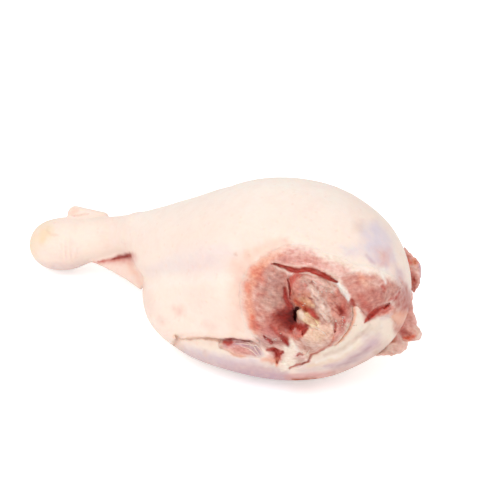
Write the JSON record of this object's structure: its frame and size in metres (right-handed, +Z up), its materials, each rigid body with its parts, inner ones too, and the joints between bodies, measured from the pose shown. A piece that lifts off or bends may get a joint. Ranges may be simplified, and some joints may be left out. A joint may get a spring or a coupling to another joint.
{
  "type": "raw goose leg",
  "caption": "Raw goose leg, thigh and drumstick in one piece with pale skin, a cut face with muscle, fat and bone end at the hip, and a bare hock end.",
  "frame": {"origin": "middle of the bounding box's floor, on the plane that the leg rests on", "axes": "+X from the hock to the cut thigh end along the leg, -Y the side that the cut face looks to, +Z up"},
  "size_m": [0.2052, 0.0884, 0.0843],
  "materials": {
    "skin": "pale damp skin, satin",
    "meat": "wet cut muscle, satin",
    "fat": "soft fat, satin",
    "bone": "cut bone end, matte"
  },
  "bodies": {
    "root": {"goose_leg": "skin"}
  },
  "joints": []
}
